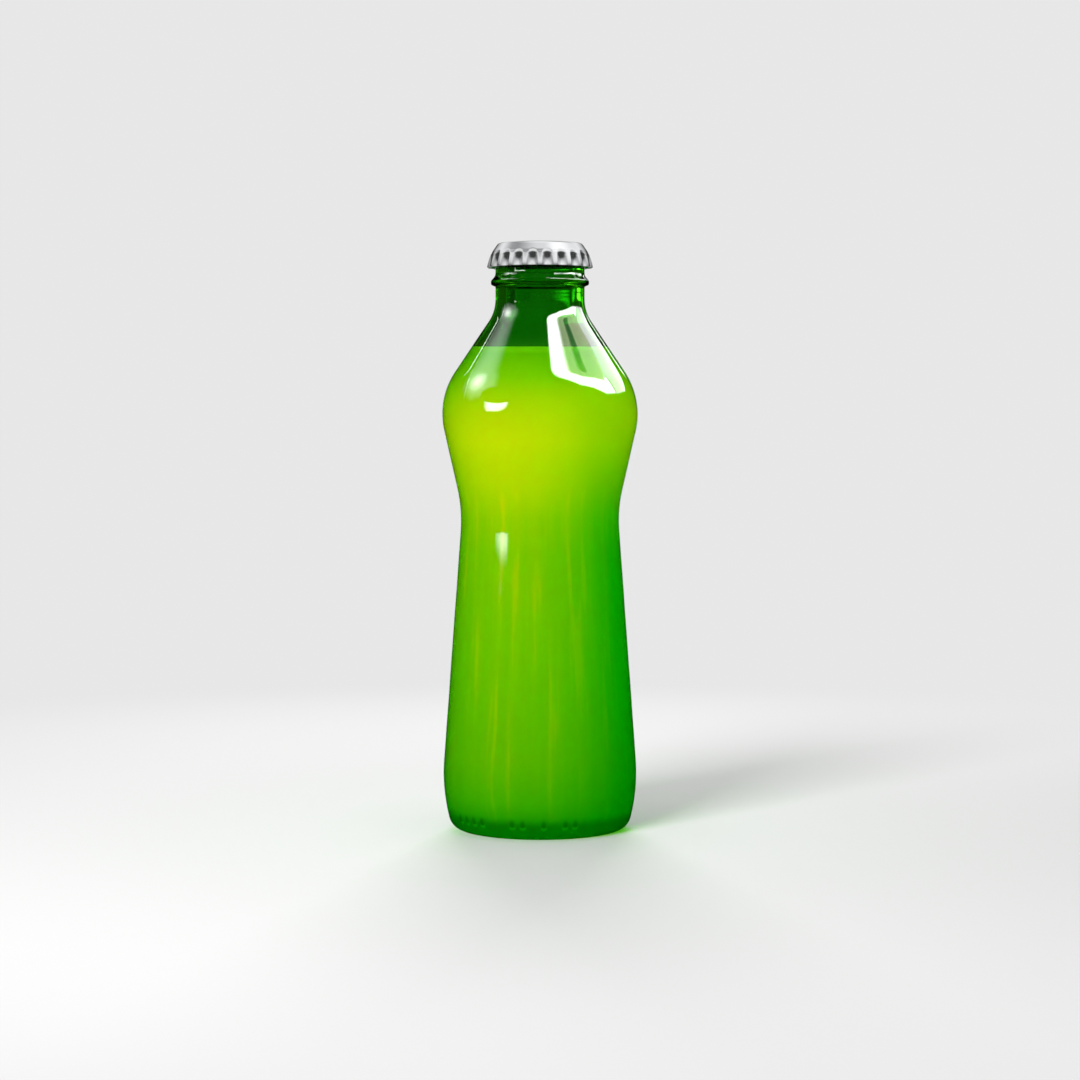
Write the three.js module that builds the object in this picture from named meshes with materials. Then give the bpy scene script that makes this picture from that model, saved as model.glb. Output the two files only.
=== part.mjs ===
// A waisted soda bottle of green glass, filled with a cloudy drink and closed by a crown: a fluted steel
// shell with a sealing liner moulded inside it.
// Millimetres, +Z up along the bottle's axis, origin on the table at the centre of the base.
import * as THREE from "three";

// Outside of the glass. The wall stands upright at four stations: the belly, the waist, the bulge and the
// root of the neck. Each has its radius, its height and the radius of the arc that rounds it.
const GLASS_HEIGHT = 160.6;
const BELLY_RADIUS = 26.7;
const BELLY_HEIGHT = 15.5;
const BELLY_ARC = 50;
const WAIST_RADIUS = 21.8;
const WAIST_HEIGHT = 85.4;
const WAIST_ARC = 40;
const BULGE_RADIUS = 26.9;
const BULGE_HEIGHT = 114.7;
const BULGE_ARC = 21;
const NECK_RADIUS = 12.25;
const NECK_LENGTH = 14.3;
const NECK_ROOT_ARC = 11;

// Base of the glass: a rounded heel, the flat ring that the bottle stands on and the hollow inside that ring
const HEEL_ARC = 4.1;
const BEARING_WIDTH = 2.6;
const PUSH_UP = 4.5;

// Thickness of the glass at each station and in the floor, and the arc where the floor meets the wall
const BELLY_WALL = 3;
const WAIST_WALL = 2.6;
const BULGE_WALL = 2;
const NECK_WALL = 3.85;
const FLOOR_THICKNESS = 4.4;
const FLOOR_CORNER_ARC = 8;

// Finish of the neck: the rounded lip, the locking ring that the crown is crimped over, and the sloping bead.
// "Proud" is how far a ring stands out of the neck, and "drop" is how far it lies below the rim.
const LOCKING_PROUD = 0.65;
const LOCKING_DROP = 2.3;
const LOCKING_BAND = 1.3;
const LOCKING_UNDERCUT = 1.4;
const LOCKING_ARC = 0.8;
const LIP_INSET = 2.4;
const LIP_ARC = 1.3;
const BEAD_PROUD = 1.25;
const BEAD_DROP = 9.85;
const BEAD_SLOPE = 2;
const BEAD_UNDERSIDE = 1;
const BEAD_ARC = 0.5;

// Drink: how far its top lies below the rim, and the space that keeps it off the glass
const HEADSPACE = 28.3;
const DRINK_GAP = 0.3;

// Crown: sheet steel drawn into a domed panel and a sloping shoulder, with a skirt crimped into flutes.
// The shoulder's rise is how far above the locking ring it ends and the flutes start.
const CROWN_HEIGHT = 7.05;
const SHEET = 0.25;
const PANEL_DOME = 0.4;
const PANEL_ARC = 1.2;
const SHOULDER_RUN = 1.8;
const SHOULDER_ARC = 2;
const SHOULDER_RISE = 0.6;
const SKIRT_CLEARANCE = 0.2;
const FLUTES = 21;
const FLUTE_DEPTH = 1.2;
const RIDGE_SHARPNESS = 2;

// Liner: a thin disc with a thicker ring that seals on the lip
const LINER_SEAL = 0.5;
const LINER_MEMBRANE = 0.25;
const LINER_EDGE = 0.5;
const SEAL_OVERLAP = 0.6;
const SEAT_GAP = 0.1;

// Fineness of the model: how far a chord may miss its arc, and the facets round the axis
const CHORD_MISS = 0.075;
const ROUND_FACETS = 44;
const FLUTE_FACETS = 6;
const BASE_STEPS = 4;
const PANEL_STEPS = 2;
const SKIRT_STEPS = 4;
const ARC_LIMIT = 0.95;
const SAME_POINT = 0.005;

// Sizes that follow from those above
const NECK_ROOT_HEIGHT = GLASS_HEIGHT - NECK_LENGTH;
const FILL_HEIGHT = GLASS_HEIGHT - HEADSPACE;
const BORE_RADIUS = NECK_RADIUS - NECK_WALL;
const BEAD_RADIUS = NECK_RADIUS + BEAD_PROUD;
const LOCKING_RADIUS = NECK_RADIUS + LOCKING_PROUD;
const LIP_RADIUS = LOCKING_RADIUS - LIP_INSET;

const QUARTER_TURN = Math.PI / 2;
const point = (radius, height) => new THREE.Vector2(radius, height);

// Points along an arc, from one direction out of its centre to another
function arcPoints(centre, radius, from, to) {
  const widest = 2 * Math.acos(1 - Math.min(CHORD_MISS / Math.abs(radius), 1));
  const steps = Math.max(1, Math.ceil(Math.abs(to - from) / widest));
  return Array.from({ length: steps + 1 }, (_, i) => {
    const angle = from + ((to - from) * i) / steps;
    return point(centre.x + radius * Math.cos(angle), centre.y + radius * Math.sin(angle));
  });
}

// A corner of an outline, rounded by an arc
const corner = (radius, height, arc = 0) => ({ at: point(radius, height), arc });

// The outline through a row of corners. An arc takes at most half of the shorter side beside it.
function roundedOutline(corners) {
  return corners.flatMap(({ at, arc }, i) => {
    if (arc === 0) return [at.clone()];
    const back = corners[i - 1].at.clone().sub(at);
    const ahead = corners[i + 1].at.clone().sub(at);
    const room = Math.min(back.length(), ahead.length()) / 2;
    back.normalize();
    ahead.normalize();
    const halfAngle = Math.acos(THREE.MathUtils.clamp(back.dot(ahead), -1, 1)) / 2;
    const radius = Math.min(arc, room * Math.tan(halfAngle));
    const inward = back.clone().add(ahead).normalize();
    const centre = at.clone().addScaledVector(inward, radius / Math.sin(halfAngle));
    const touch = radius / Math.tan(halfAngle);
    const from = at.clone().addScaledVector(back, touch).sub(centre).angle();
    const to = at.clone().addScaledVector(ahead, touch).sub(centre).angle();
    const turn = Math.atan2(Math.sin(to - from), Math.cos(to - from));
    return arcPoints(centre, radius, from, from + turn);
  });
}

// The inner face of a sheet whose outer face runs through these corners, to the right of the way they run.
// The sheet curves round its inner face at every corner, so the inner arcs are the smaller ones.
function insetCorners(corners, thickness) {
  const normals = corners.slice(1).map(({ at }, i) => {
    const along = at.clone().sub(corners[i].at).normalize();
    return point(along.y, -along.x);
  });
  return corners.map(({ at, arc }, i) => {
    const before = normals[Math.max(i - 1, 0)];
    const after = normals[Math.min(i, normals.length - 1)];
    const middle = before.clone().add(after).normalize();
    const moved = at.clone().addScaledVector(middle, thickness / middle.dot(after));
    if (i === 0) moved.x = 0;
    return { at: moved, arc: Math.max(arc - thickness, 0) };
  });
}

// Points on a shallow dome that meets the axis squarely, from the axis out to just short of its edge
function domePoints(edgeRadius, edgeHeight, rise, steps) {
  return Array.from({ length: steps }, (_, i) => {
    const share = i / steps;
    return point(edgeRadius * share, edgeHeight + rise * (1 - share * share));
  });
}

// Faces of the glass and the drink: how far each station lies inside the outside of the glass, the height of
// the floor, the arc at the floor's corner and the width of the flat ring inside that arc
const OUTSIDE = {
  insets: [0, 0, 0, 0],
  floor: 0,
  floorArc: HEEL_ARC,
  ring: BEARING_WIDTH,
};
const INSIDE = {
  insets: [BELLY_WALL, WAIST_WALL, BULGE_WALL, NECK_WALL],
  floor: FLOOR_THICKNESS,
  floorArc: FLOOR_CORNER_ARC,
  ring: 0,
};
const DRINK_FACE = {
  insets: INSIDE.insets.map((inset) => inset + DRINK_GAP),
  floor: INSIDE.floor + DRINK_GAP,
  floorArc: INSIDE.floorArc - DRINK_GAP,
  ring: 0,
};

// The stations of one face. bend is 1 where the wall swells outwards and -1 where it hollows inwards.
function stationsOf(insets) {
  const stations = [
    { radius: BELLY_RADIUS, height: BELLY_HEIGHT, arc: BELLY_ARC, bend: 1 },
    { radius: WAIST_RADIUS, height: WAIST_HEIGHT, arc: WAIST_ARC, bend: -1 },
    { radius: BULGE_RADIUS, height: BULGE_HEIGHT, arc: BULGE_ARC, bend: 1 },
    { radius: NECK_RADIUS, height: NECK_ROOT_HEIGHT, arc: NECK_ROOT_ARC, bend: -1 },
  ].map((s, i) => ({ ...s, radius: s.radius - insets[i], arc: s.arc - s.bend * insets[i] }));
  const shares = stations.slice(1).map((upper, i) => arcRoom(stations[i], upper));
  return stations.map((s, i) => {
    const arc = s.arc * Math.min(1, shares[i - 1] ?? 1, shares[i] ?? 1);
    return { ...s, arc, centre: point(s.radius - s.bend * arc, s.height) };
  });
}

// Two stations that bend opposite ways share a tangent only while their arcs are small enough together.
// This is the room that they have, as a share of their arcs.
function arcRoom(lower, upper) {
  const step = Math.abs(upper.radius - lower.radius);
  const rise = upper.height - lower.height;
  return (ARC_LIMIT * (step * step + rise * rise)) / (2 * step * (lower.arc + upper.arc));
}

// Direction square to the straight wall that touches both stations' arcs
function wallDirection(lower, upper) {
  const across = upper.centre.clone().sub(lower.centre);
  const difference = lower.bend * lower.arc - upper.bend * upper.arc;
  return Math.atan2(across.y, across.x) - Math.acos(difference / across.length());
}

// One face of the body, from the axis at the floor up to the root of the neck. It runs over the stations as a
// belt runs over pulleys: round each arc, and straight between them.
function bodyOutline({ insets, floor, floorArc, ring }) {
  const stations = stationsOf(insets);
  const [belly] = stations;
  const cornerHeight = floor + floorArc;
  const reach = Math.sqrt((belly.arc - floorArc) ** 2 - (cornerHeight - belly.height) ** 2);
  const floorCentre = point(belly.centre.x + reach, cornerHeight);
  const heelDirection = floorCentre.clone().sub(belly.centre);
  const walls = stations.slice(1).map((upper, i) => wallDirection(stations[i], upper));
  const directions = [Math.atan2(heelDirection.y, heelDirection.x), ...walls, 0];
  const floorEdge = floorCentre.x - ring;
  return [
    ...domePoints(floorEdge, floor, PUSH_UP, BASE_STEPS),
    ...(ring > 0 ? [point(floorEdge, floor)] : []),
    ...arcPoints(floorCentre, floorArc, -QUARTER_TURN, directions[0]),
    ...stations.flatMap(({ centre, arc, bend }, i) =>
      arcPoints(centre, bend * arc, directions[i], directions[i + 1]),
    ),
  ];
}

// The finish, from the neck's root up the outside, over the lip and down into the bore
function finishOutline() {
  const bead = GLASS_HEIGHT - BEAD_DROP;
  const locking = GLASS_HEIGHT - LOCKING_DROP;
  return roundedOutline([
    corner(NECK_RADIUS, NECK_ROOT_HEIGHT),
    corner(NECK_RADIUS, bead - BEAD_UNDERSIDE, BEAD_ARC),
    corner(BEAD_RADIUS, bead - BEAD_ARC, BEAD_ARC),
    corner(BEAD_RADIUS, bead + BEAD_ARC, BEAD_ARC),
    corner(NECK_RADIUS, bead + BEAD_SLOPE, BEAD_SLOPE),
    corner(NECK_RADIUS, locking - LOCKING_BAND - LOCKING_UNDERCUT, LOCKING_ARC),
    corner(LOCKING_RADIUS, locking - LOCKING_BAND, LOCKING_ARC),
    corner(LOCKING_RADIUS, locking, LOCKING_ARC),
    corner(LIP_RADIUS, GLASS_HEIGHT, LIP_ARC),
    corner(BORE_RADIUS, GLASS_HEIGHT, LIP_ARC),
    corner(BORE_RADIUS, NECK_ROOT_HEIGHT),
  ]);
}

// Solid of revolution about +Z of an outline that starts and ends on the axis. Where two stretches of the
// outline meet, the point that they share is kept once.
function revolve(outline, facets) {
  const points = outline.filter((p, i) => i === 0 || p.distanceTo(outline[i - 1]) > SAME_POINT);
  return new THREE.LatheGeometry(points, facets).rotateX(QUARTER_TURN);
}

function glassGeometry() {
  const inside = bodyOutline(INSIDE).reverse();
  return revolve([...bodyOutline(OUTSIDE), ...finishOutline(), ...inside], ROUND_FACETS);
}

// The drink fills the inside of the glass up to a level top.
function drinkGeometry() {
  const wall = [...bodyOutline(DRINK_FACE), point(BORE_RADIUS - DRINK_GAP, GLASS_HEIGHT)];
  const above = wall.findIndex((p) => p.y > FILL_HEIGHT);
  const [low, high] = [wall[above - 1], wall[above]];
  const edge = low.clone().lerp(high, (FILL_HEIGHT - low.y) / (high.y - low.y));
  return revolve([...wall.slice(0, above), edge, point(0, FILL_HEIGHT)], ROUND_FACETS);
}

// The crown's own frame has its origin on the axis, level with the underside of the liner's sealing ring.
const PANEL_EDGE_HEIGHT = LINER_SEAL + SEAT_GAP + SHEET;
const CROWN_TOP = PANEL_EDGE_HEIGHT + PANEL_DOME;
const CROWN_RIM = CROWN_TOP - CROWN_HEIGHT;
const CRIMP_START = SHOULDER_RISE - LOCKING_DROP - SEAT_GAP;
const SKIRT_RADIUS = LOCKING_RADIUS + SKIRT_CLEARANCE + SHEET;
const PANEL_RADIUS = SKIRT_RADIUS - SHOULDER_RUN;

// How far a flute stands out at one place on the skirt: none where the skirt starts, most at the rim.
// One ridge faces the front, along -Y.
function fluteReach(angle, height) {
  const drop = THREE.MathUtils.clamp((CRIMP_START - height) / (CRIMP_START - CROWN_RIM), 0, 1);
  const ridge = ((1 + Math.cos(FLUTES * (angle + QUARTER_TURN))) / 2) ** RIDGE_SHARPNESS;
  return FLUTE_DEPTH * Math.sin(drop * QUARTER_TURN) * ridge;
}

// A plain drawn cap, whose skirt is then pushed out into flutes, the inside along with the outside
function crownGeometry() {
  const dome = domePoints(PANEL_RADIUS, PANEL_EDGE_HEIGHT, PANEL_DOME, PANEL_STEPS);
  const skirt = Array.from({ length: SKIRT_STEPS }, (_, i) =>
    corner(SKIRT_RADIUS, CRIMP_START + ((CROWN_RIM - CRIMP_START) * (i + 1)) / SKIRT_STEPS),
  );
  const outside = [
    ...dome.map((p) => corner(p.x, p.y)),
    corner(PANEL_RADIUS, PANEL_EDGE_HEIGHT, PANEL_ARC),
    corner(SKIRT_RADIUS, CRIMP_START, SHOULDER_ARC),
    ...skirt,
  ];
  const outline = [
    ...roundedOutline(outside),
    ...roundedOutline(insetCorners(outside, SHEET)).reverse(),
  ].reverse();
  const geometry = revolve(outline, FLUTES * FLUTE_FACETS);
  const places = geometry.getAttribute("position");
  for (let i = 0; i < places.count; i++) {
    const [x, y, z] = [places.getX(i), places.getY(i), places.getZ(i)];
    const angle = Math.atan2(y, x);
    const reach = fluteReach(angle, z);
    places.setXY(i, x + reach * Math.cos(angle), y + reach * Math.sin(angle));
  }
  return geometry;
}

// The liner's top follows the panel's dome, and its membrane is as thick all over.
function linerGeometry() {
  const domeAt = (radius) => LINER_SEAL + PANEL_DOME * (1 - (radius / PANEL_RADIUS) ** 2);
  const outer = PANEL_RADIUS - SHEET - LINER_EDGE;
  const inner = BORE_RADIUS - SEAL_OVERLAP;
  const underside = domePoints(inner, domeAt(inner), domeAt(0) - domeAt(inner), PANEL_STEPS);
  const top = domePoints(outer, domeAt(outer), domeAt(0) - domeAt(outer), PANEL_STEPS);
  return revolve(
    [
      ...underside.map((p) => point(p.x, p.y - LINER_MEMBRANE)),
      point(inner, domeAt(inner) - LINER_MEMBRANE),
      point(inner + LINER_SEAL - LINER_MEMBRANE, 0),
      point(outer, 0),
      point(outer, domeAt(outer)),
      ...top.reverse(),
    ],
    ROUND_FACETS,
  );
}

function piece(name, geometry, material) {
  const mesh = new THREE.Mesh(geometry, new THREE.MeshStandardMaterial(material));
  mesh.name = name;
  return mesh;
}

const crown = new THREE.Group();
crown.position.z = GLASS_HEIGHT + SEAT_GAP;
crown.add(
  piece("crown_shell", crownGeometry(), { color: 0xd4d6d8, roughness: 0.25, metalness: 1 }),
  piece("crown_liner", linerGeometry(), { color: 0xe8e6df, roughness: 0.5, metalness: 0 }),
);

const bottle = new THREE.Group();
bottle.add(
  piece("glass_bottle", glassGeometry(), {
    color: 0x1f8a1a,
    roughness: 0.05,
    metalness: 0,
    transparent: true,
    opacity: 0.45,
  }),
  piece("drink", drinkGeometry(), { color: 0xb4dc1e, roughness: 0.3, metalness: 0 }),
  crown,
);

export default bottle;
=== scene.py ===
"""Looks of a small green glass soda bottle with a fluted steel crown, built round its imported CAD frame.

The frame is in metres with +Z up, and the side seen in the photograph faces -Y. Sizes of the pieces are in
millimetres and are turned into metres where meshes are made. Sizes of the stage are in metres.
"""
import math

import bpy
import numpy as np
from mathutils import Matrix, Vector


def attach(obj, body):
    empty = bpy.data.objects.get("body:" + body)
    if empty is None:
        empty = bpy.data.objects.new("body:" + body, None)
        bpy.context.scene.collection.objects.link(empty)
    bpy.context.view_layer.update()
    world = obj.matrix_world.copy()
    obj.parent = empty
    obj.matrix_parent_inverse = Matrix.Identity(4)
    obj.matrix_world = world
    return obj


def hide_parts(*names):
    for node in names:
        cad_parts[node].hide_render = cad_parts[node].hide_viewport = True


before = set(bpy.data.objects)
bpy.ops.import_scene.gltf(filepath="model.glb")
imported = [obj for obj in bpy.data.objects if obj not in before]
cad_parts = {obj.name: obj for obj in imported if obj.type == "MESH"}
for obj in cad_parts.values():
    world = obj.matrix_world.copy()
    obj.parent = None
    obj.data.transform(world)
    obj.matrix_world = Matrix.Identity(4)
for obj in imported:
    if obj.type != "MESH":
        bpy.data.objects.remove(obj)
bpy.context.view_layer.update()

MM = 0.001
QUARTER = math.pi / 2
FULL = 2 * math.pi

# Spacing of the points on outlines: arcs in radians, the rest in millimetres
ARC_STEP = 0.04
FLOOR_ARC_STEP = 0.05
CORNER_ARC_STEP = 0.2
ARC_SPACING = 0.5
LINE_SPACING = 1.5
SAME_POINT = 1e-4
ON_AXIS = 1e-9


# Body of the glass. The outside is that of the CAD solid. At the bulge, the neck and the floor the glass is
# thinner than in the solid, so that the drink glows down to the heel and the neck is clear.
GLASS_HEIGHT = 160.6
NECK_LENGTH = 14.3
BELLY = dict(radius=26.7, height=15.5, arc=50, bend=1, wall=3)
WAIST = dict(radius=21.8, height=85.4, arc=40, bend=-1, wall=2.6)
BULGE = dict(radius=26.9, height=114.7, arc=21, bend=1, wall=1.7)
NECK = dict(radius=12.25, height=GLASS_HEIGHT - NECK_LENGTH, arc=11, bend=-1, wall=2.6)
STATIONS = (BELLY, WAIST, BULGE, NECK)
HEEL_ARC = 4.1
BEARING_WIDTH = 2.6
PUSH_UP = 4.5
FLOOR_THICKNESS = 2.2
FLOOR_CORNER_ARC = 5

# Finish of the neck: the lip, the locking ring that the crown grips, and the bead below
BORE_RADIUS = NECK["radius"] - NECK["wall"]
LOCKING_PROUD = 0.65
LOCKING_DROP = 2.3
LOCKING_BAND = 1.3
LOCKING_UNDERCUT = 1.4
LOCKING_ARC = 0.8
LIP_INSET = 2.4
LIP_ARC = 1.3
BEAD_PROUD = 1.25
BEAD_DROP = 9.85
BEAD_HALF_BAND = 0.5
BEAD_SLOPE = 2
BEAD_SLOPE_ARC = 2
BEAD_UNDERSIDE = 1
BEAD_ARC = 0.5
LOCKING_RADIUS = NECK["radius"] + LOCKING_PROUD
LOCKING_HEIGHT = GLASS_HEIGHT - LOCKING_DROP
LIP_RADIUS = LOCKING_RADIUS - LIP_INSET
BEAD_RADIUS = NECK["radius"] + BEAD_PROUD
BEAD_HEIGHT = GLASS_HEIGHT - BEAD_DROP

# Details moulded into the outside of the glass: two seams, a row of dots round the heel and a faint waviness.
# Bearings are degrees to the right of the front. WAVE_TURNS are lobes round the wall, each with the radians by
# which it twists over a millimetre of height.
SEAM_BEARINGS = (-51, 129)
SEAM_PROUD = 0.05
SEAM_HALF_WIDTH = 0.2
DOT_BEARINGS = (-57, -50.5, -44, -37.5, -17, -10.5, 2.3, 15.4, 21.7)
DOT_HEIGHT = 4.7
DOT_PROUD = 0.4
DOT_HALF_WIDTH = 0.9
DOT_HALF_HEIGHT = 1.35
DETAIL_START = 8
DETAIL_FADE = 6
WAVE = 0.02
WAVE_TURNS = ((3, 0.12), (2, 0.3))
RIPPLE = 0.0025
RIPPLE_SPACING = 1.1
RIPPLE_STEP = 0.2
RIPPLE_END = 1.5
GLASS_FACETS = 160
FINE_REACH = 2.4
FINE_STEP = 0.4

# Tint of the glass: darker in the neck and at the heel. Each dot has painted shade in its middle and a
# painted highlight on its lower edge. The last four are shares of the dot's half size.
NECK_TINT = (0.065, 0.37, 0.1)
NECK_TINT_START = -9
NECK_TINT_END = 4
HEEL_TINT = 0.27
HEEL_TINT_START = 1.5 * DOT_HEIGHT
HEEL_TINT_END = 0.75 * DOT_HEIGHT
DOT_DARK = 0.45
DOT_FADE = 0.5
CRESCENT_HALF_WIDTH = 0.35
CRESCENT_START = 0.45
CRESCENT_FADE = 0.3

# Drink
HEADSPACE = 28.3
FILL_HEIGHT = GLASS_HEIGHT - HEADSPACE
MENISCUS = 1.1
MENISCUS_RADIUS = 13.332
MENISCUS_REACH = 1.3
DRINK_OVERLAP = 0.05
DRINK_STEPS = 40
DRINK_FACETS = 160
# Painted streaks of light bent by the glass, on the drink below the bulge
PAINTED_STREAKS_START = WAIST["height"] + 12
PAINTED_STREAK_STRETCH = 0.006

# Crown and liner
SHEET = 0.25
SEAT_GAP = 0.1
SEAT = GLASS_HEIGHT + SEAT_GAP
LINER_SEAL = 0.5
LINER_MEMBRANE = 0.25
LINER_EDGE = 0.5
LINER_ARC = 0.2
LINER_STEPS = 10
LINER_TOP_STEPS = 12
LINER_FACETS = 96
SEAL_OVERLAP = 0.6
SEAL_SLOPE = 0.25
SEAL_ARC = 0.12
PANEL_DOME = 0.4
PANEL_ARC = 1.2
PANEL_EDGE = SEAT + LINER_SEAL + SEAT_GAP + SHEET
CROWN_HEIGHT = 7.05
CROWN_RIM = PANEL_EDGE + PANEL_DOME - CROWN_HEIGHT
SHOULDER_RUN = 1.8
SHOULDER_RISE = 0.6
SHOULDER_ARC = 2
SKIRT_CLEARANCE = 0.2
SKIRT_RADIUS = LOCKING_RADIUS + SKIRT_CLEARANCE + SHEET
SKIRT_STEPS = 16
SKIRT_FIRST_STEP = 4
PANEL_RADIUS = SKIRT_RADIUS - SHOULDER_RUN
CRIMP_START = SEAT + SHOULDER_RISE - LOCKING_DROP - SEAT_GAP
CORNER_SHARE = 0.4
OUTER_SPACING = 0.2
INNER_SPACING = 0.5

# Flutes of the crown: ridges with pockets between them. POCKET_SHARE is a pocket's width as a share of its
# flute, and POCKET_ROUND is the height of its round top as a share of its own height.
FLUTES = 21
FLUTE_FACETS = 28
FLUTE_DEPTH = 1.2
FLUTE_CURVE = 1.35
POCKET_TOP = CRIMP_START + 0.7
POCKET_WAIST = CRIMP_START - 1.6
POCKET_SHARE = 0.74
POCKET_ROUND = 0.4
POCKET_PRESS = 0.15
POCKET_FLARE = 0.5
POCKET_CURVE = 1.8


# Outlines: lists of (radius, height) points in millimetres

def arc_points(centre, radius, start, end, step):
    """Points along an arc from one direction out of its centre to another."""
    count = max(2, math.ceil(abs(end - start) / step))
    angles = [start + (end - start) * i / count for i in range(count + 1)]
    return [(centre[0] + radius * math.cos(a), centre[1] + radius * math.sin(a)) for a in angles]


def straight_points(start, end, spacing):
    """Points along a straight line, without its ends."""
    count = max(1, math.ceil(math.dist(start, end) / spacing))
    return [
        tuple(a + (b - a) * i / count for a, b in zip(start, end))
        for i in range(1, count)
    ]


def joined(stretches, spacing=LINE_SPACING):
    """Stretches of an outline in one list, with straight lines between them filled in."""
    points = list(stretches[0])
    for stretch in stretches[1:]:
        points += straight_points(points[-1], stretch[0], spacing)
        points += [p for p in stretch if math.dist(p, points[-1]) > SAME_POINT]
    return points


def rounded_corner(before, at, after, arc):
    """Points on the arc that rounds a corner, made smaller where the lines beside it are short."""
    at = np.array(at)
    back = np.array(before) - at
    ahead = np.array(after) - at
    room = min(np.linalg.norm(back), np.linalg.norm(ahead)) / 2
    back /= np.linalg.norm(back)
    ahead /= np.linalg.norm(ahead)
    half = math.acos(max(-1, min(1, back @ ahead))) / 2
    radius = min(arc, room * math.tan(half))
    inward = (back + ahead) / np.linalg.norm(back + ahead)
    centre = at + inward * radius / math.sin(half)
    first = at + back * radius / math.tan(half) - centre
    last = at + ahead * radius / math.tan(half) - centre
    start = math.atan2(first[1], first[0])
    turn = math.atan2(last[1], last[0]) - start
    turn = math.atan2(math.sin(turn), math.cos(turn))
    return arc_points(centre, radius, start, start + turn, CORNER_ARC_STEP)


def rounded(corners):
    """The outline through corners given as (radius, height, arc), each rounded by its arc."""
    stretches = []
    for i, (radius, height, arc) in enumerate(corners):
        at = (radius, height)
        if arc:
            stretches.append(rounded_corner(corners[i - 1][:2], at, corners[i + 1][:2], arc))
        else:
            stretches.append([at])
    return joined(stretches)


def finer(outline, spacing):
    """The outline with its points no further apart than the spacing."""
    return joined([[point] for point in outline], spacing)


def dome_points(edge_radius, edge_height, rise, steps=14):
    """Points on a shallow dome from the axis out to its edge."""
    return [
        (edge_radius * i / steps, edge_height + rise * (1 - (i / steps) ** 2))
        for i in range(steps + 1)
    ]


def body_outline(insets, floor, floor_arc, ring):
    """One face of the body, from the axis at the floor up to the root of the neck, like a belt over pulleys.

    The insets move it in from the outside at each station.
    The ring is the width of the flat at the floor's edge.
    """
    pulleys = []
    for station, inset in zip(STATIONS, insets):
        bend = station["bend"]
        arc = station["arc"] - bend * inset
        centre = (station["radius"] - inset - bend * arc, station["height"])
        pulleys.append((centre, bend * arc))
    belly_centre, belly_arc = pulleys[0]
    corner_height = floor + floor_arc
    rise = corner_height - BELLY["height"]
    reach = math.sqrt((belly_arc - floor_arc) ** 2 - rise ** 2)
    floor_centre = (belly_centre[0] + reach, corner_height)
    directions = [math.atan2(rise, reach)]
    for (low, low_arc), (high, high_arc) in zip(pulleys, pulleys[1:]):
        across = (high[0] - low[0], high[1] - low[1])
        lean = math.acos((low_arc - high_arc) / math.hypot(*across))
        directions.append(math.atan2(across[1], across[0]) - lean)
    directions.append(0)
    stretches = [
        dome_points(floor_centre[0] - ring, floor, PUSH_UP),
        arc_points(floor_centre, floor_arc, -QUARTER, directions[0], FLOOR_ARC_STEP),
    ]
    for (centre, arc), start, end in zip(pulleys, directions, directions[1:]):
        stretches.append(arc_points(centre, arc, start, end, min(ARC_STEP, ARC_SPACING / abs(arc))))
    return joined(stretches)


def finish_outline():
    """From the neck's root up the outside, over the lip and down into the bore."""
    neck = NECK["radius"]
    ripples = [
        (neck + RIPPLE * math.sin(FULL * height / RIPPLE_SPACING), height, 0)
        for height in np.arange(NECK["height"], BEAD_HEIGHT - RIPPLE_END, RIPPLE_STEP)
    ]
    return rounded([
        *ripples,
        (neck, BEAD_HEIGHT - BEAD_UNDERSIDE, BEAD_ARC),
        (BEAD_RADIUS, BEAD_HEIGHT - BEAD_HALF_BAND, BEAD_ARC),
        (BEAD_RADIUS, BEAD_HEIGHT + BEAD_HALF_BAND, BEAD_ARC),
        (neck, BEAD_HEIGHT + BEAD_SLOPE, BEAD_SLOPE_ARC),
        (neck, LOCKING_HEIGHT - LOCKING_BAND - LOCKING_UNDERCUT, LOCKING_ARC),
        (LOCKING_RADIUS, LOCKING_HEIGHT - LOCKING_BAND, LOCKING_ARC),
        (LOCKING_RADIUS, LOCKING_HEIGHT, LOCKING_ARC),
        (LIP_RADIUS, GLASS_HEIGHT, LIP_ARC),
        (BORE_RADIUS, GLASS_HEIGHT, LIP_ARC),
        (BORE_RADIUS, NECK["height"], 0),
    ])


def inner_outline(inset=0.0):
    """The inside of the glass, moved inwards by the inset (outwards if it is negative)."""
    insets = [station["wall"] + inset for station in STATIONS]
    return body_outline(insets, FLOOR_THICKNESS + inset, FLOOR_CORNER_ARC - inset, 0)


# Meshes

def revolve(name, outline, angles, shape=None):
    """A smooth body of revolution about +Z. Ends of the outline on the axis become single points.

    shape(radius, height, angle) gives the radius at each point, where it isn't the outline's own.
    """
    outline = np.array(outline)
    rows, columns = len(outline), len(angles)
    radius, angle = np.meshgrid(outline[:, 0], angles, indexing="ij")
    height = np.repeat(outline[:, 1:], columns, axis=1)
    if shape:
        radius = shape(radius, height, angle)
    places = np.stack((radius * np.cos(angle), radius * np.sin(angle), height), -1)
    index = np.arange(rows * columns).reshape(rows, columns)
    on_axis = outline[:, 0] < ON_AXIS
    index[on_axis] = index[on_axis, :1]
    faces = []
    for low, high in zip(index, index[1:]):
        for i in range(columns):
            j = (i + 1) % columns
            ring = dict.fromkeys((int(low[i]), int(low[j]), int(high[j]), int(high[i])))
            if len(ring) > 2:
                faces.append(tuple(ring))
    return smooth_mesh(name, places.reshape(-1, 3) * MM, faces)


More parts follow.
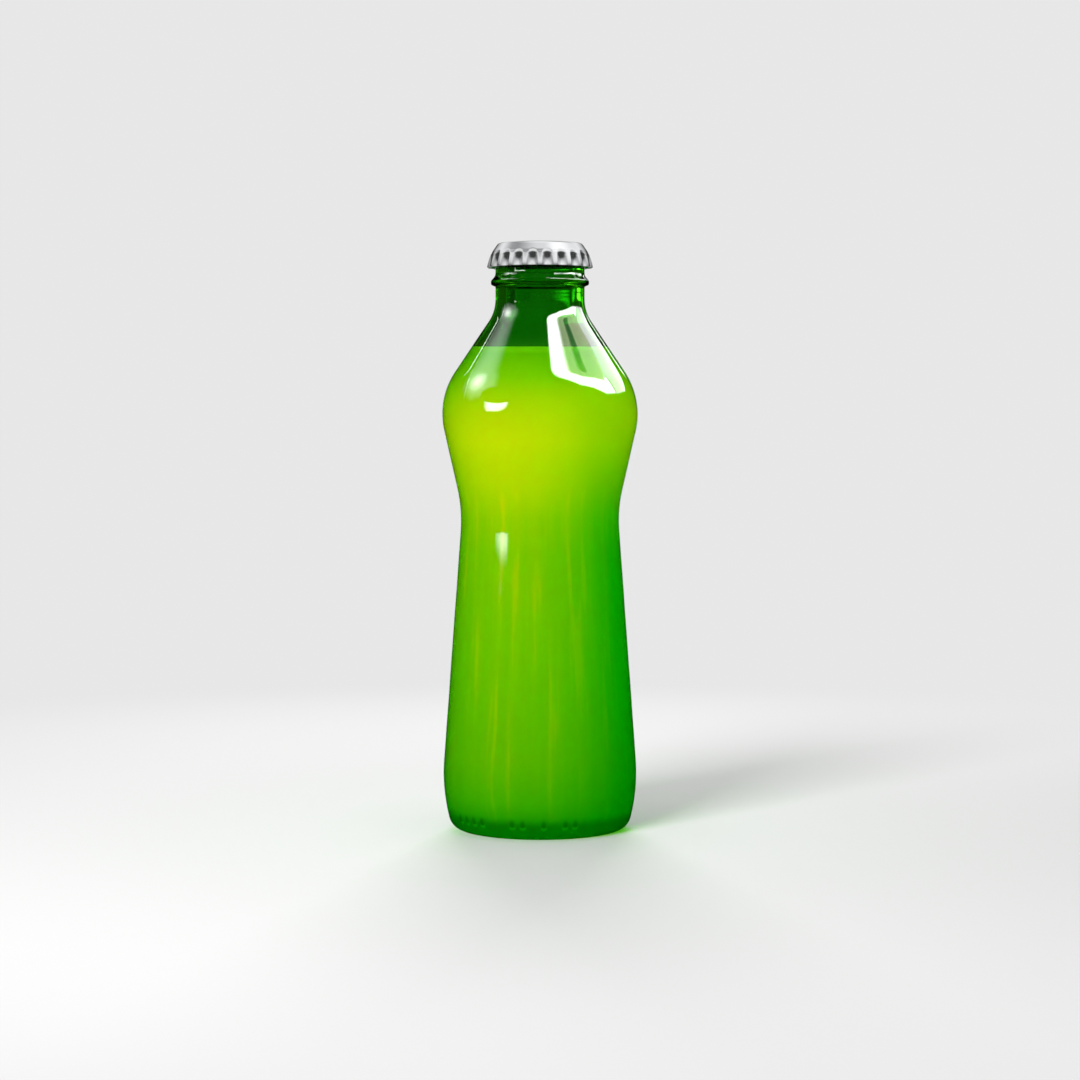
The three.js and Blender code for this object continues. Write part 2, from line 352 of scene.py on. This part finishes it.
def smooth_mesh(name, vertices, faces):
    """An object made of these faces, shaded smooth, without the vertices that no face uses."""
    used = sorted({v for face in faces for v in face})
    place = {v: i for i, v in enumerate(used)}
    mesh = bpy.data.meshes.new(name)
    mesh.from_pydata([vertices[v] for v in used], [], [[place[v] for v in f] for f in faces])
    mesh.polygons.foreach_set("use_smooth", [True] * len(mesh.polygons))
    mesh.update()
    piece = bpy.data.objects.new(name, mesh)
    bpy.context.scene.collection.objects.link(piece)
    return piece


def vertex_places(piece):
    """The places of a piece's vertices in metres, one in each row."""
    return np.array([vertex.co for vertex in piece.data.vertices])


def set_vertex_values(piece, name, values):
    """Stores a value on each vertex, which a material reads by its name."""
    piece.data.attributes.new(name, "FLOAT", "POINT").data.foreach_set("value", values)


def even_angles(count):
    """Angles evenly spaced round the axis."""
    return np.arange(count) * FULL / count


def finer_angles(count, bearings, reach, step):
    """Even angles round the axis, with finer ones near some bearings: reach and step are in degrees."""
    offsets = np.arange(-reach, reach + step / 2, step)
    near = np.radians(np.add.outer(bearings, offsets).ravel()) - QUARTER
    angles = np.concatenate((even_angles(count), near)) % FULL
    return np.unique(np.round(angles, 4))


# Tools for materials

def node_tools(tree):
    """Clears a node tree, and gives a function that adds a node to it and one that links two sockets."""
    tree.nodes.clear()

    def node(kind, **values):
        made = tree.nodes.new(kind)
        for key, value in values.items():
            setattr(made, key, value)
        return made

    return node, tree.links.new


def new_material(name):
    """A material with a cleared node tree, and the two functions that node_tools gives for it."""
    material = bpy.data.materials.new(name)
    material.use_nodes = True
    return (material, *node_tools(material.node_tree))


def object_place(node, link):
    """Sockets with the place of a point on its object, and with its height alone."""
    place = node("ShaderNodeTexCoord").outputs["Object"]
    split = node("ShaderNodeSeparateXYZ")
    link(place, split.inputs["Vector"])
    return place, split.outputs["Z"]


def scaled(node, link, value, start, end, low=0, high=1, easing="SMOOTHSTEP"):
    """A socket with the value brought from the range start to end into the range low to high."""
    scale = node("ShaderNodeMapRange", interpolation_type=easing)
    for name, number in (("From Min", start), ("From Max", end), ("To Min", low), ("To Max", high)):
        scale.inputs[name].default_value = number
    link(value, scale.inputs["Value"])
    return scale.outputs["Result"]


def calculated(node, link, operation, first, second):
    """A socket with the result of a sum on two sockets or numbers."""
    result = node("ShaderNodeMath", operation=operation)
    for socket, term in zip(result.inputs, (first, second)):
        if isinstance(term, (int, float)):
            socket.default_value = term
        else:
            link(term, socket)
    return result.outputs["Value"]


def mixed_shader(node, link, share, first, second):
    """A socket with two shaders mixed: the first at a share of 0 and the second at 1."""
    mix = node("ShaderNodeMixShader")
    link(share, mix.inputs["Fac"])
    link(first, mix.inputs[1])
    link(second, mix.inputs[2])
    return mix.outputs["Shader"]


def colour_ramp(node, link, value, stops):
    """A socket with the colour at a value on a ramp through stops of (position, (red, green, blue))."""
    ramp = node("ShaderNodeValToRGB")
    elements = ramp.color_ramp.elements
    for _ in stops[2:]:
        elements.new(0.5)
    for element, (position, colour) in zip(elements, stops):
        element.position = position
        element.color = (*colour, 1)
    link(value, ramp.inputs["Fac"])
    return ramp.outputs["Color"]


# Materials

def glass_tint(node, link):
    """A socket with the surface's colour: clear, but darker in the neck and at the heel, with painted shade
    and highlights on the dots.
    """
    _, height = object_place(node, link)
    start = (FILL_HEIGHT + NECK_TINT_START) * MM
    end = (FILL_HEIGHT + NECK_TINT_END) * MM
    depth = node("ShaderNodeMix", data_type="RGBA")
    depth.inputs["A"].default_value = (1, 1, 1, 1)
    depth.inputs["B"].default_value = (*NECK_TINT, 1)
    link(scaled(node, link, height, start, end), depth.inputs["Factor"])
    heel = scaled(node, link, height, HEEL_TINT_START * MM, HEEL_TINT_END * MM, 1, HEEL_TINT)
    # Painted shade in the middle of each dot and a painted highlight on its lower edge
    dots = node("ShaderNodeAttribute", attribute_name="dot_painted_shade_and_highlight").outputs["Fac"]
    tint = node("ShaderNodeVectorMath", operation="SCALE")
    link(depth.outputs["Result"], tint.inputs[0])
    link(calculated(node, link, "MULTIPLY", heel, dots), tint.inputs["Scale"])
    return tint.outputs["Vector"]


def glass_material():
    """Green bottle glass: its colour deepens as it gets thicker, and towards the neck.

    Lamps shine straight through it, so that they reach the drink.
    """
    material, node, link = new_material("green_glass")
    output = node("ShaderNodeOutputMaterial")
    surface = node("ShaderNodeBsdfPrincipled")
    surface.inputs["IOR"].default_value = 1.52
    surface.inputs["Roughness"].default_value = 0.0
    surface.inputs["Transmission Weight"].default_value = 1
    link(glass_tint(node, link), surface.inputs["Base Color"])
    path = node("ShaderNodeLightPath")
    clear = node("ShaderNodeBsdfTransparent").outputs["BSDF"]
    shader = surface.outputs["BSDF"]
    for straight_ray in ("Is Diffuse Ray", "Is Shadow Ray"):
        shader = mixed_shader(node, link, path.outputs[straight_ray], shader, clear)
    link(shader, output.inputs["Surface"])
    absorption = node("ShaderNodeVolumeAbsorption")
    absorption.inputs["Color"].default_value = (0.7, 0.94, 0.0, 1)
    absorption.inputs["Density"].default_value = 500
    link(absorption.outputs["Volume"], output.inputs["Volume"])
    return material


def drink_colour_and_painted_light(node, link, height):
    """A socket with the drink's colour from floor to level, with painted light: brightest at the bulge, darker
    below.
    """
    share = scaled(node, link, height, 0, FILL_HEIGHT * MM, easing="LINEAR")
    return colour_ramp(node, link, share, (
        (0.035, (0.02, 0.06, 0.002)),
        (0.08, (0.13, 0.19, 0.003)),
        (0.16, (0.25, 0.22, 0.003)),
        (0.37, (0.34, 0.25, 0.003)),
        (0.58, (0.41, 0.25, 0.003)),
        (0.65, (0.56, 0.29, 0.004)),
        (0.73, (1.0, 0.4, 0.006)),
        (0.81, (0.95, 0.4, 0.006)),
        (0.94, (0.3, 0.2, 0.003)),
        (0.985, (0.3, 0.24, 0.003)),
        (1.0, (0.6, 0.6, 0.05)),
    ))


def painted_light_streaks(node, link, place):
    """A socket with painted light and shade: upright streaks of light bent by the glass, some darker, some
    brighter and yellower.
    """
    stretch = node("ShaderNodeMapping")
    stretch.inputs["Scale"].default_value = (1, 1, PAINTED_STREAK_STRETCH)
    link(place, stretch.inputs["Vector"])
    swirl = node("ShaderNodeTexNoise")
    swirl.inputs["Scale"].default_value = 330
    swirl.inputs["Detail"].default_value = 3
    link(stretch.outputs["Vector"], swirl.inputs["Vector"])
    return colour_ramp(node, link, swirl.outputs["Fac"], (
        (0.35, (0.88, 0.98, 1)),
        (0.5, (1, 1, 1)),
        (0.58, (1.1, 1.03, 1)),
        (0.66, (1.6, 1.15, 1)),
    ))


def drink_material():
    """Cloudy drink: yellow-lime where light strikes it, and green where light has come through it."""
    material, node, link = new_material("cloudy_drink")
    output = node("ShaderNodeOutputMaterial")
    surface = node("ShaderNodeBsdfPrincipled")
    surface.inputs["Roughness"].default_value = 0.3
    surface.inputs["IOR"].default_value = 1.33
    surface.inputs["Specular IOR Level"].default_value = 0.0
    place, height = object_place(node, link)
    # Painted light: streaks of light bent by the glass, faded in below the bulge
    with_painted_streaks = node("ShaderNodeMix", data_type="RGBA", blend_type="MULTIPLY")
    below_bulge = scaled(node, link, height, PAINTED_STREAKS_START * MM, WAIST["height"] * MM)
    link(below_bulge, with_painted_streaks.inputs["Factor"])
    link(drink_colour_and_painted_light(node, link, height), with_painted_streaks.inputs["A"])
    link(painted_light_streaks(node, link, place), with_painted_streaks.inputs["B"])
    link(with_painted_streaks.outputs["Result"], surface.inputs["Base Color"])
    through = node("ShaderNodeBsdfTranslucent")
    through.inputs["Color"].default_value = (0.015, 0.87, 0.004, 1)
    cloudy = node("ShaderNodeMixShader")
    cloudy.inputs["Fac"].default_value = 0.5
    link(surface.outputs["BSDF"], cloudy.inputs[1])
    link(through.outputs["BSDF"], cloudy.inputs[2])
    link(cloudy.outputs["Shader"], output.inputs["Surface"])
    return material


def steel_material():
    """Bright tinplate, faintly uneven."""
    material, node, link = new_material("crown_steel")
    output = node("ShaderNodeOutputMaterial")
    surface = node("ShaderNodeBsdfPrincipled")
    surface.inputs["Base Color"].default_value = (0.78, 0.79, 0.8, 1)
    surface.inputs["Metallic"].default_value = 1
    place, _ = object_place(node, link)
    grain = node("ShaderNodeTexNoise")
    grain.inputs["Scale"].default_value = 400
    grain.inputs["Detail"].default_value = 6
    link(place, grain.inputs["Vector"])
    roughness = scaled(node, link, grain.outputs["Fac"], 0, 1, 0.1, 0.18, "LINEAR")
    link(roughness, surface.inputs["Roughness"])
    link(surface.outputs["BSDF"], output.inputs["Surface"])
    return material


def liner_material():
    """Milky sealing compound."""
    material, node, link = new_material("liner_compound")
    output = node("ShaderNodeOutputMaterial")
    surface = node("ShaderNodeBsdfPrincipled")
    surface.inputs["Roughness"].default_value = 0.45
    place, _ = object_place(node, link)
    cloud = node("ShaderNodeTexNoise")
    cloud.inputs["Scale"].default_value = 160
    link(place, cloud.inputs["Vector"])
    colour = colour_ramp(node, link, cloud.outputs["Fac"], (
        (0, (0.68, 0.66, 0.58)),
        (1, (0.8, 0.79, 0.72)),
    ))
    link(colour, surface.inputs["Base Color"])
    link(surface.outputs["BSDF"], output.inputs["Surface"])
    return material


# Pieces

def add_piece(piece, material, body, node_name):
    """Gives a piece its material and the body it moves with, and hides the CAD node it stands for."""
    piece.data.materials.append(material)
    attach(piece, body)
    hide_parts(node_name)


def distance_round(radius, angle, bearing):
    """How far round the wall, in millimetres, points lie from a bearing."""
    turn = angle - (math.radians(bearing) - QUARTER)
    return radius * ((turn + math.pi) % FULL - math.pi)


def place_on_dot(radius, height, angle, bearing):
    """How far points lie across and above the middle of a dot, as shares of its half size."""
    across = distance_round(radius, angle, bearing) / DOT_HALF_WIDTH
    up = (height - DOT_HEIGHT) / DOT_HALF_HEIGHT
    return across, up


def moulded_detail(radius, height, angle):
    """How far the seams, the dots and the waviness stand out of the plain wall."""
    above_heel = np.clip((height - DETAIL_START) / DETAIL_FADE, 0, 1)
    below_neck = np.clip((NECK["height"] - height) / DETAIL_FADE, 0, 1)
    fade = above_heel * below_neck
    proud = WAVE * fade
    for lobes, twist in WAVE_TURNS:
        proud = proud * np.sin(lobes * angle + twist * height)
    for bearing in SEAM_BEARINGS:
        across = distance_round(radius, angle, bearing) / SEAM_HALF_WIDTH
        proud += SEAM_PROUD * fade * np.clip(1 - across ** 2, 0, 1)
    for bearing in DOT_BEARINGS:
        across, up = place_on_dot(radius, height, angle, bearing)
        proud += DOT_PROUD * np.clip(1 - across ** 2 - up ** 2, 0, 1)
    return proud


def dot_painted_shade_and_highlight(radius, height, angle):
    """Painted shade and highlight on each dot, as a factor on the glass's colour: dark in its middle, with a
    bright edge below.
    """
    shade = np.ones_like(height)
    for bearing in DOT_BEARINGS:
        across, up = place_on_dot(radius, height, angle, bearing)
        edge = np.hypot(across, up)
        dark = np.clip((1 - edge) / DOT_FADE, 0, 1)
        low = np.clip((-up - CRESCENT_START) / CRESCENT_FADE, 0, 1)
        bright = np.clip(1 - np.abs(edge - 1) / CRESCENT_HALF_WIDTH, 0, 1) * low
        shade *= 1 - (1 - DOT_DARK) * dark * (1 - bright)
        shade *= 1 + (1 / HEEL_TINT - 1) * bright
    return shade


def glass_piece():
    """The glass: its moulded outside, the finish of the neck and its plain inside."""
    outside = body_outline((0, 0, 0, 0), 0, HEEL_ARC, BEARING_WIDTH)
    outline = joined([outside, finish_outline(), inner_outline()[::-1]])
    is_outside = np.arange(len(outline))[:, None] < len(outside)

    def moulded(radius, height, angle):
        return radius + is_outside * moulded_detail(radius, height, angle)

    angles = finer_angles(GLASS_FACETS, DOT_BEARINGS + SEAM_BEARINGS, FINE_REACH, FINE_STEP)
    glass = revolve("bottle_glass", outline, angles, moulded)
    x, y, z = vertex_places(glass).T / MM
    set_vertex_values(glass, "dot_painted_shade_and_highlight", dot_painted_shade_and_highlight(np.hypot(x, y), z, np.arctan2(y, x)))
    return glass


def drink_piece():
    """The drink, which reaches a hair into the glass so that no air shows between them.

    Its level is highest at MENISCUS_RADIUS, falls a little towards the wall and dips in the middle.
    """
    wall = [p for p in inner_outline(-DRINK_OVERLAP) if p[1] < FILL_HEIGHT]
    top = []
    for i in range(DRINK_STEPS + 1):
        inward = MENISCUS_RADIUS * i / DRINK_STEPS
        sunk = MENISCUS * (1 - math.exp(-inward / MENISCUS_REACH))
        top.append((MENISCUS_RADIUS - inward, FILL_HEIGHT - sunk))
    return revolve("cloudy_drink", wall + top, even_angles(DRINK_FACETS))


def flute_reach(height, angle):
    """How far the skirt stands out: ridges flare to the rim, and round-topped pockets are pressed in between.

    A pocket goes in as far as its waist, and below it bends out towards the rim.
    """
    phase = FLUTES * (angle + QUARTER) / FULL
    off_pocket = np.abs(phase % 1 - 0.5) * 2
    pocket_drop = np.clip((POCKET_TOP - height) / (POCKET_TOP - CROWN_RIM) / POCKET_ROUND, 1e-6, 1)
    pocket_width = POCKET_SHARE * np.sqrt(1 - (1 - pocket_drop) ** 2)
    pocket = np.clip(1 - (off_pocket / pocket_width) ** 2, 0, 1)
    drop = np.clip((CRIMP_START - height) / (CRIMP_START - CROWN_RIM), 0, 1)
    ridge = FLUTE_DEPTH * (1 - (1 - drop) ** FLUTE_CURVE)
    press = np.clip((POCKET_TOP - height) / (POCKET_TOP - CRIMP_START), 0, 1)
    bend = np.clip((POCKET_WAIST - height) / (POCKET_WAIST - CROWN_RIM), 0, 1)
    hollow = POCKET_FLARE * bend ** POCKET_CURVE - POCKET_PRESS * press ** 2 * (3 - 2 * press)
    return ridge * (1 - pocket) + hollow * pocket


def crown_face(inset):
    """One face of the crown's sheet before crimping, from its middle to its rim, moved in by the inset."""
    panel = dome_points(PANEL_RADIUS, PANEL_EDGE, PANEL_DOME)[:-2]
    corner_inset = CORNER_SHARE * inset
    skirt = [
        (SKIRT_RADIUS - inset, CRIMP_START + (CROWN_RIM - CRIMP_START) * i / SKIRT_STEPS, 0)
        for i in range(SKIRT_FIRST_STEP, SKIRT_STEPS + 1)
    ]
    return rounded([
        *[(radius, height - inset, 0) for radius, height in panel],
        (PANEL_RADIUS - corner_inset, PANEL_EDGE - inset, PANEL_ARC - inset),
        (SKIRT_RADIUS - inset, CRIMP_START - corner_inset, SHOULDER_ARC - inset),
        *skirt,
    ])


def crown_piece():
    """The crown: a sheet of steel with a shallow dome, a round shoulder and a crimped skirt."""
    def crimped(radius, height, angle):
        return radius + flute_reach(height, angle)

    outline = finer(crown_face(0), OUTER_SPACING) + finer(crown_face(SHEET)[::-1], INNER_SPACING)
    return revolve("fluted_crown", outline, even_angles(FLUTES * FLUTE_FACETS), crimped)


def liner_piece():
    """The liner: a thin skin under the crown's dome, with a thicker ring that seals on the lip."""
    def dome_point(radius, drop=0):
        return radius, SEAT + LINER_SEAL + PANEL_DOME * (1 - (radius / PANEL_RADIUS) ** 2) - drop

    outer = PANEL_RADIUS - SHEET - LINER_EDGE
    inner = BORE_RADIUS - SEAL_OVERLAP
    under = [dome_point(inner * i / LINER_STEPS, LINER_MEMBRANE) for i in range(LINER_STEPS + 1)]
    top = [dome_point(outer * i / LINER_TOP_STEPS) for i in range(LINER_TOP_STEPS, -1, -1)]
    ring = rounded([
        (*dome_point(inner, LINER_MEMBRANE), 0),
        (inner + SEAL_SLOPE, SEAT, SEAL_ARC),
        (outer, SEAT, LINER_ARC),
        (*dome_point(outer), 0),
    ])
    return revolve("sealing_liner", under + ring[1:-1] + top, even_angles(LINER_FACETS))


add_piece(glass_piece(), glass_material(), "bottle", "glass_bottle")
add_piece(drink_piece(), drink_material(), "bottle", "drink")
add_piece(crown_piece(), steel_material(), "crown", "crown_shell")
add_piece(liner_piece(), liner_material(), "crown", "crown_liner")


# Stage: floor, light and camera. Sizes are in metres. Directions are degrees to the right of the front and
# above the horizon, seen from MIDDLE, a point in the bottle's bulge.

MIDDLE = Vector((0, 0, 0.11))
BACKDROP = 0.8
ROOM = 0.03
FLOOR_RADIUS = 6
FLOOR_FACETS = 96
FLOOR_GREY = 0.76
FLOOR_BLEND_START = 0.1
FLOOR_BLEND_END = 0.4
CLOTH_REACH = 1.8
CLOTH_LIFT = 0.0002
CLOTH_HOLE = 0.0208
CLOTH_FACETS = 48
CARD_RINGS = 13
SENSOR_WIDTH = 36
FRAME_WIDTH = 0.2986
EYE = Vector((0, -0.694, 0.1112))
AIM = Vector((0, 0, 0.07995))


def floor_piece():
    """Pale floor that keeps the bottle's shadow and turns into the backdrop further out."""
    bpy.ops.mesh.primitive_circle_add(vertices=FLOOR_FACETS, radius=FLOOR_RADIUS, fill_type="NGON")
    floor = bpy.context.object
    floor.name = "floor"
    material, node, link = new_material("pale_floor")
    output = node("ShaderNodeOutputMaterial")
    near = node("ShaderNodeBsdfPrincipled")
    near.inputs["Base Color"].default_value = (FLOOR_GREY, FLOOR_GREY, FLOOR_GREY, 1)
    near.inputs["Roughness"].default_value = 0.6
    near.inputs["Specular IOR Level"].default_value = 0.0
    far = node("ShaderNodeEmission")
    far.inputs["Strength"].default_value = BACKDROP
    place, _ = object_place(node, link)
    reach = node("ShaderNodeVectorMath", operation="LENGTH")
    link(place, reach.inputs[0])
    blend = scaled(node, link, reach.outputs["Value"], FLOOR_BLEND_START, FLOOR_BLEND_END)
    shader = mixed_shader(node, link, blend, near.outputs["BSDF"], far.outputs["Emission"])
    link(shader, output.inputs["Surface"])
    floor.data.materials.append(material)
    floor.visible_diffuse = False


def only_in_glass_and_metal(piece):
    """Stage that shows in reflections and through glass, and that neither the camera nor the lamps see."""
    piece.visible_camera = False
    piece.visible_diffuse = False
    piece.visible_shadow = False
    piece.visible_volume_scatter = False


def direction(azimuth, elevation):
    """A unit vector out of the bottle."""
    a, e = math.radians(azimuth), math.radians(elevation)
    return Vector((math.sin(a) * math.cos(e), -math.cos(a) * math.cos(e), math.sin(e)))


def oval(azimuth, elevation, half_width, half_height, count=20):
    """Corners of a card that is an oval."""
    return [
        (azimuth + half_width * math.cos(a), elevation + half_height * math.sin(a))
        for a in even_angles(count)
    ]


def card_material(name, strength, in_metal, colour):
    """Light of one strength in the sharp reflections of the glass and another in the metal's blurred ones.

    Where the mesh's own glow fades the card turns see-through.
    """
    material, node, link = new_material(name)
    output = node("ShaderNodeOutputMaterial")
    in_glass = node("ShaderNodeLightPath").outputs["Is Singular Ray"]
    light = node("ShaderNodeEmission")
    light.inputs["Color"].default_value = (*colour, 1)
    level = scaled(node, link, in_glass, 0, 1, in_metal, strength, "LINEAR")
    link(level, light.inputs["Strength"])
    clear = node("ShaderNodeBsdfTransparent")
    glow = node("ShaderNodeAttribute", attribute_name="glow").outputs["Fac"]
    eased = scaled(node, link, glow, 0, 1)
    shown = scaled(node, link, in_glass, 0, 1, 1 if in_metal else 0, 1, "LINEAR")
    solid = calculated(node, link, "MULTIPLY", eased, shown)
    shader = mixed_shader(node, link, solid, clear.outputs["BSDF"], light.outputs["Emission"])
    link(shader, output.inputs["Surface"])
    material.cycles.emission_sampling = "NONE"
    return material


def card(name, corners, distance, strength, in_metal=0, fade=0.0, colour=(1, 1, 1), behind_glass=False):
    """A glowing or dark card that shows only in the glass or the metal, with corners as (azimuth, elevation).

    It bends round the bottle. Towards its edges it fades over this share of the way from its middle.
    A card behind glass is seen through the glass and isn't reflected in it.
    """
    corners = [direction(*corner) for corner in corners]
    middle = sum(corners, Vector()).normalized()
    shares = np.linspace(0, 1, CARD_RINGS)
    count = len(corners)
    places = [
        MIDDLE + distance * middle.lerp(corner, share).normalized()
        for share in shares
        for corner in corners
    ]
    faces = [
        (ring + i, ring + (i + 1) % count, ring + count + (i + 1) % count, ring + count + i)
        for ring in range(0, count * (CARD_RINGS - 1), count)
        for i in range(count)
    ]
    piece = smooth_mesh(name, places, faces)
    glow = np.clip((1 - shares) / fade, 0, 1) if fade else np.ones_like(shares)
    set_vertex_values(piece, "glow", np.repeat(glow, count))
    piece.data.materials.append(card_material(name, strength, in_metal, colour))
    only_in_glass_and_metal(piece)
    piece.visible_glossy = not behind_glass


def surroundings_material():
    """Black in the sharp reflections of the glass, and as bright in the metal as the mesh's level says."""
    material, node, link = new_material("surroundings")
    output = node("ShaderNodeOutputMaterial")
    in_glass = node("ShaderNodeLightPath").outputs["Is Singular Ray"]
    in_metal = calculated(node, link, "SUBTRACT", 1, in_glass)
    level = node("ShaderNodeAttribute", attribute_name="level").outputs["Fac"]
    light = node("ShaderNodeEmission")
    link(calculated(node, link, "MULTIPLY", in_metal, level), light.inputs["Strength"])
    link(light.outputs["Emission"], output.inputs["Surface"])
    material.cycles.emission_sampling = "NONE"
    return material


def surroundings(levels):
    """Cloth round the set and its floor that only reflections see: black in the glass, banded in the metal.

    Levels are (elevation, brightness in the metal).
    """
    outline = [(CLOTH_HOLE / MM, CLOTH_LIFT / MM)]
    for elevation, _ in levels:
        across = CLOTH_REACH * math.cos(math.radians(elevation))
        up = CLOTH_REACH * math.sin(math.radians(elevation))
        outline.append((across / MM, max(CLOTH_LIFT, up) / MM))
    cloth = revolve("surroundings", outline, even_angles(CLOTH_FACETS))
    height = vertex_places(cloth)[:, 2]
    elevation = np.degrees(np.arcsin(np.clip(height / CLOTH_REACH, 0, 1)))
    set_vertex_values(cloth, "level", np.interp(elevation, *zip(*levels)))
    cloth.data.materials.append(surroundings_material())
    only_in_glass_and_metal(cloth)
    cloth.visible_transmission = False


def softbox(name, azimuth, elevation, distance, width, power, aim=MIDDLE, spread=180):
    """A square soft lamp that lights the bottle but isn't itself seen in it. Its spread is in degrees."""
    light = bpy.data.lights.new(name, "AREA")
    light.shape = "SQUARE"
    light.size = width
    light.energy = power
    light.spread = math.radians(spread)
    lamp = bpy.data.objects.new(name, light)
    lamp.location = MIDDLE + distance * direction(azimuth, elevation)
    lamp.rotation_euler = (aim - lamp.location).to_track_quat("-Z", "Y").to_euler()
    lamp.visible_camera = False
    lamp.visible_glossy = False
    lamp.visible_transmission = False
    bpy.context.scene.collection.objects.link(lamp)


def world_light():
    """A pale backdrop wherever the camera, metal or glass look, and a dimmer room that fills the shadows."""
    world = bpy.data.worlds.new("studio")
    world.use_nodes = True
    node, link = node_tools(world.node_tree)
    output = node("ShaderNodeOutputWorld")
    path = node("ShaderNodeLightPath")
    seen = path.outputs["Is Camera Ray"]
    for other_ray in ("Is Glossy Ray", "Is Transmission Ray"):
        seen = calculated(node, link, "MAXIMUM", seen, path.outputs[other_ray])
    room = node("ShaderNodeBackground")
    backdrop = node("ShaderNodeBackground")
    for background, strength in ((room, ROOM), (backdrop, BACKDROP)):
        background.inputs["Color"].default_value = (1, 1, 1, 1)
        background.inputs["Strength"].default_value = strength
    shader = mixed_shader(node, link, seen, room.outputs["Background"], backdrop.outputs["Background"])
    link(shader, output.inputs["Surface"])
    bpy.context.scene.world = world


def camera():
    """The photograph's view. The frame is as wide as FRAME_WIDTH at the distance of the bottle."""
    data = bpy.data.cameras.new("camera")
    data.sensor_width = SENSOR_WIDTH
    data.lens = SENSOR_WIDTH * (AIM - EYE).length / FRAME_WIDTH
    cam = bpy.data.objects.new("camera", data)
    cam.location = EYE
    cam.rotation_euler = (AIM - EYE).to_track_quat("-Z", "Y").to_euler()
    bpy.context.scene.collection.objects.link(cam)
    bpy.context.scene.camera = cam


floor_piece()
world_light()
surroundings((
    (0, 0.35), (2, 0.05), (18, 0.05), (30, 0.7), (38, 1), (44, 0.8), (52, 0.4), (60, 0.35), (68, 0.6),
    (76, 1), (90, 1.15),
))

# Lamps: they strike the drink from the left of the front, from behind and from above, and its right shoulder
softbox("key", azimuth=-30, elevation=8, distance=1.0, width=0.4, power=22.5)
softbox("back", azimuth=180, elevation=8, distance=1.0, width=0.5, power=18)
softbox("overhead", azimuth=0, elevation=88, distance=1.2, width=0.6, power=4)
softbox(
    "shoulder_light", azimuth=70, elevation=8, distance=0.6, width=0.04, power=0.035,
    aim=Vector((0, 0, 0.145)), spread=12,
)

# Window reflected at the right of the shoulder: its white frame and the frame's dimmer side
card("window", (
    (27, 72), (24, 65), (25, 58), (30, 52.5), (57, 37.5), (91, 20), (108, 17.5), (112, 50), (90, 62),
    (61, 71), (43, 74.5), (34, 75),
), distance=1.2, strength=22, fade=0.09)
card("window_edge", (
    (108, 17.5), (132, 14.5), (146, 24), (135, 38), (112, 50),
), distance=1.2, strength=7, fade=0.06)

# Soft sheen on the right of the crown, which is dark in the glass
card("crown_sheen", oval(75, 50, 75, 38), distance=1.6, strength=0, in_metal=1.3, fade=0.9)

# Pane of the window, a dimmer slash in it, and a thin line near the right edge of the bottle
card("window_pane", (
    (60, 66), (55, 57), (70, 46.5), (102, 31.5), (119, 39), (114, 50), (90, 63),
), distance=1.0, strength=5, fade=0.2, colour=(0.95, 1, 0.65))
card("window_slash", (
    (80, 64), (77, 56), (84, 48), (93, 50), (92, 58),
), distance=0.9, strength=0.6, fade=0.6)
card("right_line", (
    (155, 30), (155, 12), (157.5, 12), (157.5, 30),
), distance=1.2, strength=6, fade=0.4)

# Pale veil with a brighter glow and a thin line, reflected at the left of the shoulder
card("left_veil", (
    (-56, 33), (-66, 50), (-92, 59), (-116, 56), (-130, 36), (-116, 18), (-92, 11), (-66, 18),
), distance=1.2, strength=3, fade=0.5)
card("left_glow", oval(-95, 34, 19, 14), distance=1.1, strength=13, fade=0.9)
card("left_line", (
    (-130.4, 48), (-130.4, 25), (-132.2, 25), (-132.2, 48),
), distance=1.2, strength=9, fade=0.5)

# Lamp reflected as the crescent on the bulge and the bar on the waist, and a flag that keeps it off the neck
card("left_lamp", (
    (-36, 17), (-38, 10), (-41, 6), (-47, 2.7), (-57, 2.1), (-67, 2.7), (-70, 8), (-71, 15.5), (-61, 14.5),
    (-53, 14.2), (-45, 15),
), distance=1.5, strength=22, fade=0.42)
card("neck_flag", (
    (-26, 19), (-26, 32), (-60, 32), (-68, 25), (-68, 19),
), distance=0.1, strength=0)

# Seen through the neck: a soft glow, a glint at its right, and dark cloths behind its sides
card("neck_glow", oval(169, 4.8, 9, 0.9), distance=1.2, strength=6, fade=1, behind_glass=True)
card("neck_glint", oval(144, 5.4, 17, 1.1), distance=1.0, strength=14, fade=1, behind_glass=True)
for side in (-1, 1):
    card("neck_cloth", (
        (side * 118, -8), (side * 118, 38), (side * 169, 38), (side * 169, -8),
    ), distance=1.4, strength=0.2, behind_glass=True)

camera()
bpy.context.scene.view_settings.view_transform = "Standard"
